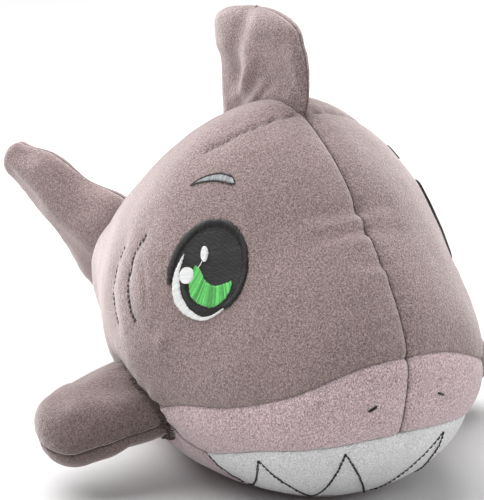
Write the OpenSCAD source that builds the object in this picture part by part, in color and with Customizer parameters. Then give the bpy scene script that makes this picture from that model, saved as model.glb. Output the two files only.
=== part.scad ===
// Plush shark: sewn fabric panels over stuffing cores, with four soft fins and an embroidered face.
// Millimetres, +Z up. The nose points to -Y and the shark's right side is -X.
// The origin lies under the middle of the whole toy, on the surface that the belly rests on.

/* [Body] */
// Length from the nose to the tail seam
body_length = 257; // [230:1:285]
// Width at the widest section
body_width = 166; // [146:1:186]
// Height of the back above the floor
body_height = 172; // [155:1:190]
// Thickness of the fabric with its pile
skin = 2; // [1.4:0.1:2.4]

/* [Fins] */
// Reach of a side fin past its hinge line
side_fin_reach = 35; // [28:1:44]
// Width of a side fin from front seam to rear seam
side_fin_width = 54; // [44:1:58]
// Thickness of a side fin at its fullest
side_fin_thickness = 34; // [26:1:36]
// Thickness of the back fin at its fullest
back_fin_thickness = 19; // [14:1:22]
// Thickness of the tail fin at its fullest
tail_fin_thickness = 25; // [18:1:28]
// Swing of the resting tail towards the right side, in degrees
tail_rest = 20; // [0:1:26]

/* [Embroidery] */
// Size of each eye against its drawn size
eye_scale = 1; // [0.85:0.01:1.1]
// Width of a run of embroidery thread
thread = 0.9; // [0.6:0.1:1.2]
// Length of one embroidery stitch
stitch = 3; // [2.4:0.1:4]

/* [Hidden] */

// Colours of the fabrics, the threads and the stuffing
taupe = [0.64, 0.57, 0.56];
pink = [0.83, 0.77, 0.79];
white = [0.93, 0.93, 0.95];
black = [0.1, 0.1, 0.1];
green = [0.45, 0.85, 0.42];
slate = [0.55, 0.55, 0.58];
wadding = [0.97, 0.96, 0.94];

// The drawn sizes that the station table was laid out at
drawn_length = 257;
drawn_width = 166;
drawn_height = 172;

// Body sections from nose to tail: [y, top, bottom, half width, height of the widest line].
// A bottom below zero is pressed flat by the floor.
STATIONS = [for (s = [
    [-96, 70, 70, 0, 70],
    [-87, 97, 34, 42, 62],
    [-65, 124, 6, 60, 60],
    [-34, 154, -5, 72, 61],
    [2, 172, -5, 83, 68],
    [36, 164, -5, 78, 76],
    [78, 139, -2, 61, 76],
    [115, 110, 7, 43, 71],
    [145, 92, 22, 30, 64],
    [161, 84, 33, 4, 59]])
    [s[0] * body_length / drawn_length, s[1] * body_height / drawn_height,
     s[2] * body_height / drawn_height, s[3] * body_width / drawn_width,
     s[4] * body_height / drawn_height]];
tail_station = len(STATIONS) - 1;

// Squareness of the sections above and below their widest line (2 is an ellipse)
back_roundness = 1.85;
belly_roundness = 2.15;

// Clearance between the skin and the stuffing, of the body and of a fin, and under the back fin
body_fill_gap = 1.5;
fin_fill_gap = 0.5;
fin_gap = 2;

// The tail fin's hinge line, and the shift that puts the origin under the toy's middle
tail_y = STATIONS[tail_station][0] + 2;
tail_reach = 92;
nose_y = STATIONS[0][0];
middle_y = (nose_y + tail_y + tail_reach * cos(tail_rest)) / 2;

// Panel edges as [station, angle from the back seam in degrees]
TAUPE_EDGE = [[0.27, 0], [0.37, 34], [0.64, 60], [1.1, 79.5], [1.8, 90.5], [2.5, 96], [3.2, 101],
              [3.75, 109], [4.2, 112], [4.9, 115], [5.7, 119], [6.6, 124], [7.5, 128],
              [8.3, 132], [9, 140]];
BACK_SEAM = [for (e = TAUPE_EDGE) [e[0], 0]];
MUZZLE_TOP = [for (i = [0:7]) TAUPE_EDGE[i]];
MOUTH_TOP = [[0.8, 180], [0.84, 161], [1, 142], [1.42, 124], [2.05, 116.5], [2.65, 118.5], [3.25, 124]];
MOUTH_CORNER = [3.25, 124];
MUZZLE_CORNER = [3.75, 117.2];
MOUTH_BOTTOM = [[2.15, 180], [2.17, 172], [2.24, 164], [2.5, 156], [2.85, 151], [3.12, 143],
                [3.25, 124]];
belly_first_row = 8;

// Face embroidery as [station, angle]; the right side is drawn and the left side mirrors it
TEETH = [[3.15, 124], [3.1, 146], [2.2, 121], [2.24, 157], [1.1, 146], [2.12, 180]];
NOSTRIL = [[0.42, 127], [0.55, 124]];
GILL_FRONT = [[4.22, 60], [4.36, 67], [4.34, 75], [4.14, 80], [3.98, 82]];
GILL_REAR = [[4.78, 67], [4.9, 74], [4.88, 82], [4.7, 87], [4.54, 89]];
CLOSING_SEAM = [[7.1, 180], [8.2, 180]];
// The left eye and brow sit a little further back than the right ones
EYE_RIGHT = [3.12, 58];
EYE_LEFT = [3.45, 61];
BROW_RIGHT = [3.62, 39];
BROW_LEFT = [3.88, 42.5];

// The eye's own axes on the skin, in millimetres: half its width and half its height, both leaning
EYE_ACROSS = [19.2, 5.6] * eye_scale;
EYE_UP = [-4.4, 21.4] * eye_scale;

// Ring where a side fin's cloth meets the body, as [station, angle] with its half sizes
ROOT_SPOT = [4.48, 117];
ROOT_SIZE = [0.77, 14];

// Side fin: hinge line through this point of the right side, and the fin's own turns
side_fin_hinge = [-89 * body_width / drawn_width, 15, 34.5];
side_fin_pitch = 6;
side_fin_droop = 21;

// Fin sections: [front edge p, q, rear edge p, q, half thickness] in the fin's own plane
SIDE_FIN = [
    [0, 0.46 * side_fin_width, 0, -0.5 * side_fin_width, 12],
    [0.28 * side_fin_reach, 0.43 * side_fin_width, 0.24 * side_fin_reach, -0.52 * side_fin_width,
     0.48 * side_fin_thickness],
    [0.62 * side_fin_reach, 0.33 * side_fin_width, 0.48 * side_fin_reach, -0.49 * side_fin_width,
     0.46 * side_fin_thickness]];
SIDE_FIN_CAPS = [12, 0.45 * side_fin_reach];
BACK_FIN = [
    [-10, 171.5, 63, 151.5, 3],
    [-12, 180.5, 65, 181, 0.42 * back_fin_thickness],
    [-10, 191, 70, 190.5, back_fin_thickness / 2],
    [-4.5, 201, 68, 199.5, back_fin_thickness / 2]];
BACK_FIN_CAPS = [0, 11.5];
TAIL_FIN = [
    [2, 27, 15, 29, 5.5],
    [0, 38, 25, 36, 0.34 * tail_fin_thickness],
    [0, 60, 36, 43.5, 0.44 * tail_fin_thickness],
    [3, 87, 47, 56, tail_fin_thickness / 2],
    [30, 96.5, 59.5, 67, tail_fin_thickness / 2],
    [55, 106, 73.5, 77.5, 0.44 * tail_fin_thickness],
    [77, 108.5, 87, 87.5, 0.36 * tail_fin_thickness]];
TAIL_FIN_CAPS = [6, 9];

// ---- Curves and surfaces ----

// Smooth curve through rows of numbers; before is the row that leads into the first one
function spline(rows, u, before) =
    let (n = len(rows) - 1, w = max(0, min(n, u)), i = min(floor(w), n - 1), f = w - i,
         a = i == 0 ? before : rows[i - 1], b = rows[i], c = rows[i + 1],
         d = i == n - 1 ? 2 * rows[n] - rows[n - 1] : rows[i + 2])
    0.5 * (2 * b + (c - a) * f + (2 * a - 5 * b + 4 * c - d) * f * f
           + (3 * b - a - 3 * c + d) * f * f * f);
function through(rows, u) = spline(rows, u, 2 * rows[0] - rows[1]);

// The nose is round: the row before it mirrors the first station in y
nose_lead = let (r = 2 * STATIONS[0] - STATIONS[1])
    [STATIONS[1][0], r[1], r[2], r[3], r[4]];
function section(u) = spline(STATIONS, u, nose_lead);

// Point of the body at a station and an angle from the back seam, on the left side
function body_at(u, a) =
    let (s = section(u), upper = a < 90, n = upper ? back_roundness : belly_roundness,
         rise = (upper ? s[1] - s[4] : s[4] - s[2]) * pow(abs(cos(a)), 2 / n))
    [s[3] * pow(abs(sin(a)), 2 / n), s[0], max(0, s[4] + (upper ? rise : -rise))];

// The skin's chart: polar about the nose, so that it is smooth there; x < 0 is the right side
function chart(e) = [e[0] * sin(e[1]), e[0] * cos(e[1])];
function on_body(c) =
    let (q = body_at(norm(c), abs(atan2(c[0], c[1])))) [c[0] < 0 ? -q[0] : q[0], q[1], q[2]];
chart_step = 0.004;
function normal_at(c) =
    let (dp = on_body(c + [chart_step, 0]) - on_body(c - [chart_step, 0]),
         dq = on_body(c + [0, chart_step]) - on_body(c - [0, chart_step]), n = cross(dp, dq))
    n / norm(n);
function skin_at(c, height) = on_body(c) + height * normal_at(c);

// Highest point of the body at a place along its length, found by halving
function station_at(y, lo = 0, hi = 9, steps = 14) =
    steps == 0 ? (lo + hi) / 2
    : let (mid = (lo + hi) / 2)
      section(mid)[0] < y ? station_at(y, mid, hi, steps - 1) : station_at(y, lo, mid, steps - 1);
function back_height(y) = section(station_at(y))[1];

// ---- Solids from grids of points ----

// Closed solid between two grids of the same size, given row by row
module slab(outer, inner, flip = false) {
    m = len(outer);
    n = len(outer[0]);
    top = function (i, j) i * n + j;
    low = function (i, j) m * n + i * n + j;
    faces = concat(
        [for (i = [0:m - 2], j = [0:n - 2]) [top(i, j), top(i, j + 1), top(i + 1, j)]],
        [for (i = [0:m - 2], j = [0:n - 2]) [top(i + 1, j), top(i, j + 1), top(i + 1, j + 1)]],
        [for (i = [0:m - 2], j = [0:n - 2]) [low(i, j), low(i + 1, j), low(i, j + 1)]],
        [for (i = [0:m - 2], j = [0:n - 2]) [low(i + 1, j), low(i + 1, j + 1), low(i, j + 1)]],
        [for (j = [0:n - 2]) [top(0, j), low(0, j), low(0, j + 1)]],
        [for (j = [0:n - 2]) [top(0, j), low(0, j + 1), top(0, j + 1)]],
        [for (j = [0:n - 2]) [top(m - 1, j), low(m - 1, j + 1), low(m - 1, j)]],
        [for (j = [0:n - 2]) [top(m - 1, j), top(m - 1, j + 1), low(m - 1, j + 1)]],
        [for (i = [0:m - 2]) [top(i, 0), low(i + 1, 0), low(i, 0)]],
        [for (i = [0:m - 2]) [top(i, 0), top(i + 1, 0), low(i + 1, 0)]],
        [for (i = [0:m - 2]) [top(i, n - 1), low(i, n - 1), low(i + 1, n - 1)]],
        [for (i = [0:m - 2]) [top(i, n - 1), low(i + 1, n - 1), top(i + 1, n - 1)]]);
    polyhedron(points = [for (row = concat(outer, inner)) each row],
               faces = flip ? [for (f = faces) [f[2], f[1], f[0]]] : faces);
}

// Closed solid through rings of points, with a point at each end
module loft(rings, first, last) {
    m = len(rings);
    n = len(rings[0]);
    at = function (i, j) 1 + i * n + j % n;
    polyhedron(
        points = concat([first], [for (ring = rings) each ring], [last]),
        faces = concat(
            [for (j = [0:n - 1]) [0, at(0, j + 1), at(0, j)]],
            [for (i = [0:m - 2], j = [0:n - 1]) [at(i, j), at(i, j + 1), at(i + 1, j)]],
            [for (i = [0:m - 2], j = [0:n - 1]) [at(i + 1, j), at(i, j + 1), at(i + 1, j + 1)]],
            [for (j = [0:n - 1]) [1 + m * n, at(m - 1, j), at(m - 1, j + 1)]]));
}

function middle(points) = [for (p = points) 1] * points / len(points);

// Moves everything from the body's frame, whose y is zero at the widest section, to the origin
module placed() {
    translate([0, -middle_y, 0]) children();
}

module mirrored() {
    mirror([1, 0, 0]) children();
}

// ---- Body ----

edge_steps = 2;

// Chart points along an edge, with the same samples for both panels that share it
function edge_points(rows, first = 0) =
    let (charted = [for (e = rows) chart(e)])
    [for (k = [first * edge_steps:(len(rows) - 1) * edge_steps]) through(charted, k / edge_steps)];
function polar(c) = [norm(c), abs(atan2(c[0], c[1]))];

// Grid of the skin between two edges: straight across the chart, or along the body's sections
function grid_straight(from, to, columns) =
    [for (i = [0:len(from) - 1]) [for (j = [0:columns]) from[i] + (to[i] - from[i]) * j / columns]];
function grid_around(from, to, columns) =
    [for (i = [0:len(from) - 1]) let (a = polar(from[i]), b = polar(to[i]))
        [for (j = [0:columns]) chart(a + (b - a) * j / columns)]];

// The same for a panel that crosses the middle of the belly, with angles past 180 degrees
function signed_polar(c) = [norm(c), c[0] < 0 ? 360 - polar(c)[1] : polar(c)[1]];
function grid_around_signed(from, to, columns) =
    [for (i = [0:len(from) - 1]) let (a = signed_polar(from[i]), b = signed_polar(to[i]))
        [for (j = [0:columns]) chart(a + (b - a) * j / columns)]];

module fabric(grid, flip = false) {
    placed() slab([for (row = grid) [for (c = row) skin_at(c, 0)]],
                  [for (row = grid) [for (c = row) skin_at(c, -skin)]], flip);
}

module body_fill() {
    inset = -(skin + body_fill_gap);
    around = 28;
    color(wadding) placed() loft(
        [for (u = [0.25:0.35:tail_station - 0.05])
            [for (j = [0:around - 1]) skin_at(chart([u, 360 * j / around]), inset)]],
        skin_at([0.001, 0], inset),
        middle([for (j = [0:around - 1])
            skin_at(chart([tail_station - 0.08, 360 * j / around]), inset)]));
}

module side_panel() {
    color(taupe) fabric(grid_around(edge_points(BACK_SEAM), edge_points(TAUPE_EDGE), 12), true);
}
module side_panel_left() {
    side_panel();
}
module side_panel_right() {
    mirrored() side_panel();
}

// The muzzle's lower edge follows the mouth, then runs straight to its corner under the side fin
module muzzle_panel() {
    below = concat(edge_points(MOUTH_TOP), [for (k = [1:edge_steps])
        chart(MOUTH_CORNER + (MUZZLE_CORNER - MOUTH_CORNER) * k / edge_steps)]);
    color(pink) fabric(grid_straight(edge_points(MUZZLE_TOP), below, 8), true);
}
module muzzle_panel_left() {
    muzzle_panel();
}
module muzzle_panel_right() {
    mirrored() muzzle_panel();
}

// The white mouth panel is one piece of cloth from corner to corner
function both_sides(points) =
    concat([for (i = [len(points) - 1:-1:1]) [-points[i][0], points[i][1]]], points);
module mouth_panel() {
    above = both_sides(edge_points(MOUTH_TOP));
    below = both_sides(edge_points(MOUTH_BOTTOM));
    color(white) fabric(grid_around_signed(above, below, 5), true);
}
module belly_panel() {
    front = both_sides(edge_points(MOUTH_BOTTOM));
    across = len(front);
    rear_edge = edge_points(TAUPE_EDGE, belly_first_row);
    first_rear = polar(rear_edge[0]);
    rear_row = function (e) [for (j = [0:across - 1])
        [e[0], 360 - e[1] + (2 * e[1] - 360) * j / (across - 1)]];
    front_rows = 4;
    first_row = rear_row(first_rear);
    grid = concat(
        [for (i = [0:front_rows - 1]) [for (j = [0:across - 1])
            let (a = signed_polar(front[j]))
            chart(a + (first_row[j] - a) * i / front_rows)]],
        [for (c = rear_edge) [for (e = rear_row(polar(c))) chart(e)]]);
    color(pink) fabric(grid);
}

// ---- Embroidery ----

lift = 0.1;
patch = 0.6;

// One stitch: a bar that lies on the skin between two chart points
module bar(from, to, height = lift) {
    a = skin_at(from, height);
    b = skin_at(to, height);
    n = normal_at((from + to) / 2);
    side = cross(n, b - a) / norm(b - a) * thread / 2;
    up = n * 0.6;
    slab([[a - side + up, a + side + up], [b - side + up, b + side + up]],
         [[a - side, a + side], [b - side, b + side]], true);
}

// A run of stitches along straight stretches of the chart
module run(points, gap = 0.12) {
    for (k = [0:len(points) - 2]) {
        from = points[k];
        to = points[k + 1];
        count = max(1, round(norm(on_body(to) - on_body(from)) / stitch));
        for (i = [0:count - 1])
            bar(from + (to - from) * (i + gap) / count, from + (to - from) * (i + 1 - gap) / count);
    }
}

module smooth_run(rows, count) {
    charted = [for (e = rows) chart(e)];
    run([for (k = [0:count]) through(charted, k * (len(rows) - 1) / count)]);
}

module teeth_stitches() {
    points = [for (e = TEETH) chart(e)];
    color(black) placed() run(concat(points, [for (i = [len(points) - 2:-1:0])
        [-points[i][0], points[i][1]]]));
}

module nostril_stitches() {
    color(black) placed() {
        run([for (e = NOSTRIL) chart(e)]);
        run([for (e = NOSTRIL) chart([e[0], -e[1]])]);
    }
}

module gill_stitches_left() {
    color(slate) placed() {
        smooth_run(GILL_FRONT, 14);
        smooth_run(GILL_REAR, 12);
    }
}
module gill_stitches_right() {
    mirrored() gill_stitches_left();
}

module closing_stitches() {
    color(taupe) placed() run([for (e = CLOSING_SEAM) chart(e)], 0.25);
}

function root_ring(turn) =
    chart([ROOT_SPOT[0] + ROOT_SIZE[0] * cos(turn), ROOT_SPOT[1] + ROOT_SIZE[1] * sin(turn)]);
module root_stitches_left() {
    count = 40;
    color(slate) placed() for (i = [0:count - 1])
        bar(root_ring(i * 360 / count), root_ring((i + 0.6) * 360 / count));
}
module root_stitches_right() {
    mirrored() root_stitches_left();
}

// A flat drawing frame on the skin: the chart moves for one millimetre towards the nose and up
function frame_at(spot) =
    let (c = chart(spot), n = normal_at(c),
         dp = (on_body(c + [chart_step, 0]) - on_body(c - [chart_step, 0])) / (2 * chart_step),
         dq = (on_body(c + [0, chart_step]) - on_body(c - [0, chart_step])) / (2 * chart_step),
         nose = cross(n, [0, 0, 1]) / norm(cross(n, [0, 0, 1])), rise = cross(nose, n),
         a = dp * nose, b = dq * nose, d = dp * rise, e = dq * rise, det = a * e - b * d)
    [c, [e, -d] / det, [-b, a] / det];
function drawn(frame, p) = frame[0] + p[0] * frame[1] + p[1] * frame[2];
function eye_point(p) = p[0] * EYE_ACROSS + p[1] * EYE_UP;

// A patch of satin stitch between two curves drawn on the skin
module satin(frame, left, right, layer = 0, rows = 12, columns = 4) {
    height = lift + layer * (patch + 0.05);
    grid = [for (i = [0:rows])
        let (a = through(left, i * (len(left) - 1) / rows),
             b = through(right, i * (len(right) - 1) / rows))
        [for (j = [0:columns]) drawn(frame, a + (b - a) * j / columns)]];
    placed() slab([for (row = grid) [for (c = row) skin_at(c, height + patch)]],
                  [for (row = grid) [for (c = row) skin_at(c, height)]], true);
}

// Half of an ellipse's rim, from top to bottom; side is -1 or 1
function rim(centre, radii, side) =
    [for (a = [8:20.5:172]) eye_point(centre + [side * radii[0] * sin(a), radii[1] * cos(a)])];

module eye_disc(spot, centre, radii, layer, rows, columns = 4) {
    satin(frame_at(spot), rim(centre, radii, -1), rim(centre, radii, 1), layer, rows, columns);
}
module eye_ground(spot) {
    color(black) eye_disc(spot, [0, 0], [1, 1], 0, 12, 8);
}
module eye_white(spot) {
    outer = [[-0.6, 0.36], [-0.8, 0.02], [-0.86, -0.36], [-0.74, -0.66], [-0.46, -0.86],
             [-0.08, -0.97], [0.34, -0.9]];
    inner = [[-0.58, 0.34], [-0.66, 0], [-0.66, -0.34], [-0.54, -0.62], [-0.3, -0.8],
             [0, -0.9], [0.34, -0.88]];
    color(white) satin(frame_at(spot), [for (p = outer) eye_point(p)],
                       [for (p = inner) eye_point(p)], 1);
}
module eye_iris(spot) {
    upper = [[-0.28, 0.1], [-0.13, -0.04], [0.04, -0.23], [0.28, -0.3], [0.6, -0.31]];
    lower = [[-0.3, 0.08], [-0.48, -0.36], [-0.2, -0.73], [0.24, -0.77], [0.6, -0.36]];
    color(green) satin(frame_at(spot), [for (p = lower) eye_point(p)],
                       [for (p = upper) eye_point(p)], 1);
}
module eye_highlights(spot) {
    color(white) {
        eye_disc(spot, [-0.5, -0.1], [0.2, 0.17], 2, 8);
        eye_disc(spot, [-0.1, 0.33], [0.11, 0.16], 2, 8);
    }
}
module eye_left_ground() {
    eye_ground(EYE_LEFT);
}
module eye_left_white() {
    eye_white(EYE_LEFT);
}
module eye_left_iris() {
    eye_iris(EYE_LEFT);
}
module eye_left_highlights() {
    eye_highlights(EYE_LEFT);
}
module eye_right_ground() {
    mirrored() eye_ground(EYE_RIGHT);
}
module eye_right_white() {
    mirrored() eye_white(EYE_RIGHT);
}
module eye_right_iris() {
    mirrored() eye_iris(EYE_RIGHT);
}
module eye_right_highlights() {
    mirrored() eye_highlights(EYE_RIGHT);
}

module brow(spot) {
    upper = [[-11.8, -2], [-6, 2.6], [0, 4.4], [6, 4.2], [9.8, 2.6]];
    lower = [[-11.6, -2.6], [-6, 0.2], [0, 0.8], [6, 1], [9.8, 2]];
    color(slate) satin(frame_at(spot), lower, upper);
}
module brow_left() {
    brow(BROW_LEFT);
}
module brow_right() {
    mirrored() brow(BROW_RIGHT);
}

// ---- Fins ----

// Point of a fin: u runs along it with a round cap before 0 and after its last row, t runs round
// its section from the rear seam (0) by one face (90) to the front seam (180)
function fin_at(rows, caps, u, t, inset = 0) =
    let (n = len(rows) - 1, turn = u < 0 ? -u * 90 : u > n ? (u - n) * 90 : 0,
         s = through(rows, u), half = [s[2] - s[0], s[3] - s[1]] / 2, size = norm(half),
         out = [-half[1], half[0]] / size * (u < 0 ? -1 : 1),
         cap = turn == 0 ? 0 : caps[u < 0 ? 0 : 1] - inset,
         width = u < 0 ? pow(1 - pow(sin(turn), 4), 0.25) : cos(turn),
         p = [s[0] + s[2], s[1] + s[3]] / 2 + out * cap * sin(turn)
             + half / size * (size - inset) * width * cos(t))
    [p[0], p[1], (s[4] - inset) * cos(turn) * sin(t)];

function fin_span(rows, caps) =
    let (n = len(rows) - 1)
    concat(caps[0] > 0 ? [-1, -0.85, -0.65, -0.4, -0.2] : [],
           [for (k = [0:2 * n]) k / 2], [for (f = [0.2, 0.4, 0.65, 0.85, 1]) n + f]);

// One face of a fin, and the stuffing inside; place() turns the fin's plane into the body's frame
module fin_face(rows, caps, face, place, flip) {
    columns = 10;
    grid = function (inset) [for (u = fin_span(rows, caps)) [for (j = [0:columns])
        place(fin_at(rows, caps, u, face * 180 * j / columns, inset))]];
    placed() slab(grid(0), grid(skin), flip);
}
module fin_core(rows, caps, place) {
    columns = 10;
    narrowest = 6;
    last = len(rows) - 1 + 0.95;
    span = [for (u = fin_span(rows, caps)) max(-0.95, min(last, u))];
    side = function (face) [for (u = span) [for (j = [0:columns])
        place(fin_at(rows, caps, u, face * (narrowest + (180 - 2 * narrowest) * j / columns),
                     skin + fin_fill_gap))]];
    placed() slab(side(1), side(-1));
}

// The side fin's plane: p reaches out, q points to the nose and r up
function turned_z(p, a) = [p[0] * cos(a) - p[1] * sin(a), p[0] * sin(a) + p[1] * cos(a), p[2]];
function turned_y(p, a) = [p[0] * cos(a) + p[2] * sin(a), p[1], p[2] * cos(a) - p[0] * sin(a)];
function turned_x(p, a) = [p[0], p[1] * cos(a) - p[2] * sin(a), p[1] * sin(a) + p[2] * cos(a)];
place_side = function (p)
    side_fin_hinge + turned_y(turned_x([-p[0], -p[1], p[2]], side_fin_pitch), -side_fin_droop);
module side_fin_right_upper_panel() {
    color(taupe) fin_face(SIDE_FIN, SIDE_FIN_CAPS, 1, place_side, false);
}
module side_fin_right_lower_panel() {
    color(taupe) fin_face(SIDE_FIN, SIDE_FIN_CAPS, -1, place_side, true);
}
module side_fin_right_fill() {
    color(wadding) fin_core(SIDE_FIN, SIDE_FIN_CAPS, place_side);
}
module side_fin_left_upper_panel() {
    mirrored() side_fin_right_upper_panel();
}
module side_fin_left_lower_panel() {
    mirrored() side_fin_right_lower_panel();
}
module side_fin_left_fill() {
    mirrored() side_fin_right_fill();
}

// The back fin's root follows the back; the lift fades out above it
root_fade = 26;
place_back = function (p)
    let (drawn_root = BACK_FIN[0][1] + (BACK_FIN[0][3] - BACK_FIN[0][1])
             * (p[0] - BACK_FIN[0][0]) / (BACK_FIN[0][2] - BACK_FIN[0][0]),
         above = p[1] - drawn_root, fade = max(0, 1 - above / root_fade))
    [p[2], p[0], p[1] + (back_height(p[0]) + fin_gap - drawn_root) * fade];
module back_fin_right_panel() {
    color(taupe) fin_face(BACK_FIN, BACK_FIN_CAPS, -1, place_back, true);
}
module back_fin_left_panel() {
    color(taupe) fin_face(BACK_FIN, BACK_FIN_CAPS, 1, place_back, false);
}
module back_fin_fill() {
    color(wadding) fin_core(BACK_FIN, BACK_FIN_CAPS, place_back);
}

place_tail = function (p) [0, tail_y, 0] + turned_z([p[2], p[0], p[1]], tail_rest);
module tail_fin_right_panel() {
    color(taupe) fin_face(TAIL_FIN, TAIL_FIN_CAPS, -1, place_tail, true);
}
module tail_fin_left_panel() {
    color(taupe) fin_face(TAIL_FIN, TAIL_FIN_CAPS, 1, place_tail, false);
}
module tail_fin_fill() {
    color(wadding) fin_core(TAIL_FIN, TAIL_FIN_CAPS, place_tail);
}

// ---- Label ----

label_size = [0.8, 18, 26];
LABEL_SPOT = [7.6, 128];
module care_label() {
    color(white) placed() translate(skin_at(chart(LABEL_SPOT), 0.4)) rotate([0, 118, 18])
        translate([-label_size[0] / 2, -label_size[1] / 2, 0]) cube(label_size);
}

body_fill();
side_panel_right();
side_panel_left();
muzzle_panel_right();
muzzle_panel_left();
mouth_panel();
belly_panel();
teeth_stitches();
nostril_stitches();
eye_right_ground();
eye_right_white();
eye_right_iris();
eye_right_highlights();
eye_left_ground();
eye_left_white();
eye_left_iris();
eye_left_highlights();
brow_right();
brow_left();
gill_stitches_right();
gill_stitches_left();
side_fin_right_upper_panel();
side_fin_right_lower_panel();
side_fin_right_fill();
side_fin_left_upper_panel();
side_fin_left_lower_panel();
side_fin_left_fill();
root_stitches_right();
root_stitches_left();
back_fin_right_panel();
back_fin_left_panel();
back_fin_fill();
tail_fin_right_panel();
tail_fin_left_panel();
tail_fin_fill();
closing_stitches();
care_label();
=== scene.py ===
"""A plush shark: velour panels with sunken seams, inflated fins and an embroidered face."""

import math

import bmesh
import bpy
import numpy as np
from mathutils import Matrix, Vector


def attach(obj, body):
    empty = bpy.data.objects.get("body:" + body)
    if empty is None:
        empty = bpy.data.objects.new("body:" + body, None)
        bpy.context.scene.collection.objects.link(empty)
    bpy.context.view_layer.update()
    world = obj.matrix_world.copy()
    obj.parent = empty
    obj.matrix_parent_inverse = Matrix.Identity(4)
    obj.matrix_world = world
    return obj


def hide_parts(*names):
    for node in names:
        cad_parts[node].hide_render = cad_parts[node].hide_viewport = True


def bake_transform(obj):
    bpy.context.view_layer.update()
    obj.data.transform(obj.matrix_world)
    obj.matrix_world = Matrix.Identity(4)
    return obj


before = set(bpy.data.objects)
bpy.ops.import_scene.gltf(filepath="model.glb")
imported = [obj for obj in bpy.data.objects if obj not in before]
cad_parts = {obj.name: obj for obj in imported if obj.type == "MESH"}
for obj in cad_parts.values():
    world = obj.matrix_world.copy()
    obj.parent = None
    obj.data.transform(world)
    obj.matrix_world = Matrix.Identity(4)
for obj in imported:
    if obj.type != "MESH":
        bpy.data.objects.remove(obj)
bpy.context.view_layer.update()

# ---- The toy's shape, as the part's source has it: millimetres, y is 0 at the widest section ----

MM = 0.001
NOSE_Y = -96
TAIL_Y = 163
TAIL_REACH = 92
TAIL_REST = 20
MIDDLE_Y = (NOSE_Y + TAIL_Y + TAIL_REACH * math.cos(math.radians(TAIL_REST))) / 2

# Body sections from nose to tail: [y, top, bottom, half width, height of the widest line]
STATIONS = np.array([
    [-96, 70, 70, 0, 70],
    [-87, 97, 34, 42, 62],
    [-65, 124, 6, 60, 60],
    [-34, 154, -5, 72, 61],
    [2, 172, -5, 83, 68],
    [36, 164, -5, 78, 76],
    [78, 139, -2, 61, 76],
    [115, 110, 7, 43, 71],
    [145, 92, 22, 30, 64],
    [161, 84, 33, 4, 59]], float)
BACK_ROUNDNESS = 1.85
BELLY_ROUNDNESS = 2.15

# Panel edges and face embroidery as [station, angle from the back seam in degrees]
TAUPE_EDGE = [[0.27, 0], [0.37, 34], [0.64, 60], [1.1, 79.5], [1.8, 90.5], [2.5, 96], [3.2, 101],
              [3.75, 109], [4.2, 112], [4.9, 115], [5.7, 119], [6.6, 124], [7.5, 128],
              [8.3, 132], [9, 140]]
MUZZLE_REAR = 8
MOUTH_TOP = [[0.8, 180], [0.84, 161], [1, 142], [1.42, 124], [2.05, 116.5], [2.65, 118.5],
             [3.25, 124]]
MOUTH_BOTTOM = [[2.15, 180], [2.17, 172], [2.24, 164], [2.5, 156], [2.85, 151], [3.12, 143],
                [3.25, 124]]
MUZZLE_CORNER = [[3.25, 124], [3.75, 117.2], [4.2, 112]]
TEETH = [[3.15, 124], [3.1, 146], [2.2, 121], [2.24, 157], [1.1, 146], [2.12, 180]]
NOSTRIL = [[0.42, 127], [0.55, 124]]
GILL_FRONT = [[4.22, 60], [4.36, 67], [4.34, 75], [4.14, 80], [3.98, 82]]
GILL_REAR = [[4.78, 67], [4.9, 74], [4.88, 82], [4.7, 87], [4.54, 89]]
CLOSING_SEAM = [[7.1, 180], [8.2, 180]]
DART = [[3.72, 4.5], [3.76, 11.5], [3.8, 17], [3.88, 23], [3.95, 28], [4.1, 33]]
EYE_SPOTS = {"left": [3.45, 61], "right": [3.12, 58]}
BROW_SPOTS = {"left": [3.88, 42.5], "right": [3.62, 39]}
EYE_ACROSS = np.array([19.2, 5.6])
EYE_UP = np.array([-4.4, 21.4])
ROOT_SPOT = [4.48, 117]
ROOT_SIZE = [0.77, 14]

# Soft creases of the cloth: (points as [station, angle], height, half width);
# angles below 0 are on the right side
CREASES = [
    ([[2.58, -25.5], [2.46, -20], [2.36, -10], [2.36, 0]], -1.3, 3.6),
    ([[2.48, -26], [2.34, -18], [2.28, -9.5], [2.26, 0]], 0.8, 3.2),
    ([[2.3, -27.5], [2.2, -21], [2.14, -12.5], [2.1, -1]], -1.4, 2.6),
    ([[2.14, -23.5], [2.08, -16], [2.04, -9], [2.04, 0]], 0.9, 4),
    ([[1.74, -16.5], [1.68, -10.5], [1.66, -1.5]], -1, 3),
    ([[1.64, -17], [1.58, -9], [1.54, -1]], 0.7, 3.5),
    ([[2.1, 1.5], [2.12, 10], [2.18, 18.5]], -0.9, 3.6),
    ([[2.36, 2.5], [2.4, 12], [2.44, 20]], -0.9, 4),
    ([[4.18, -66], [3.94, -70], [3.76, -77]], -0.7, 1.2),
    ([[4.72, -68.5], [4.46, -69.5], [4.3, -72]], -0.6, 1.2),
    ([[4.16, 66], [3.9, 71], [3.8, 78]], -0.6, 1.4),
    ([[2.96, -71], [2.88, -74], [2.84, -77.5]], -0.7, 1.2),
    ([[3.54, -85], [3.48, -82], [3.38, -80.5]], 1, 3),
]

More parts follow.
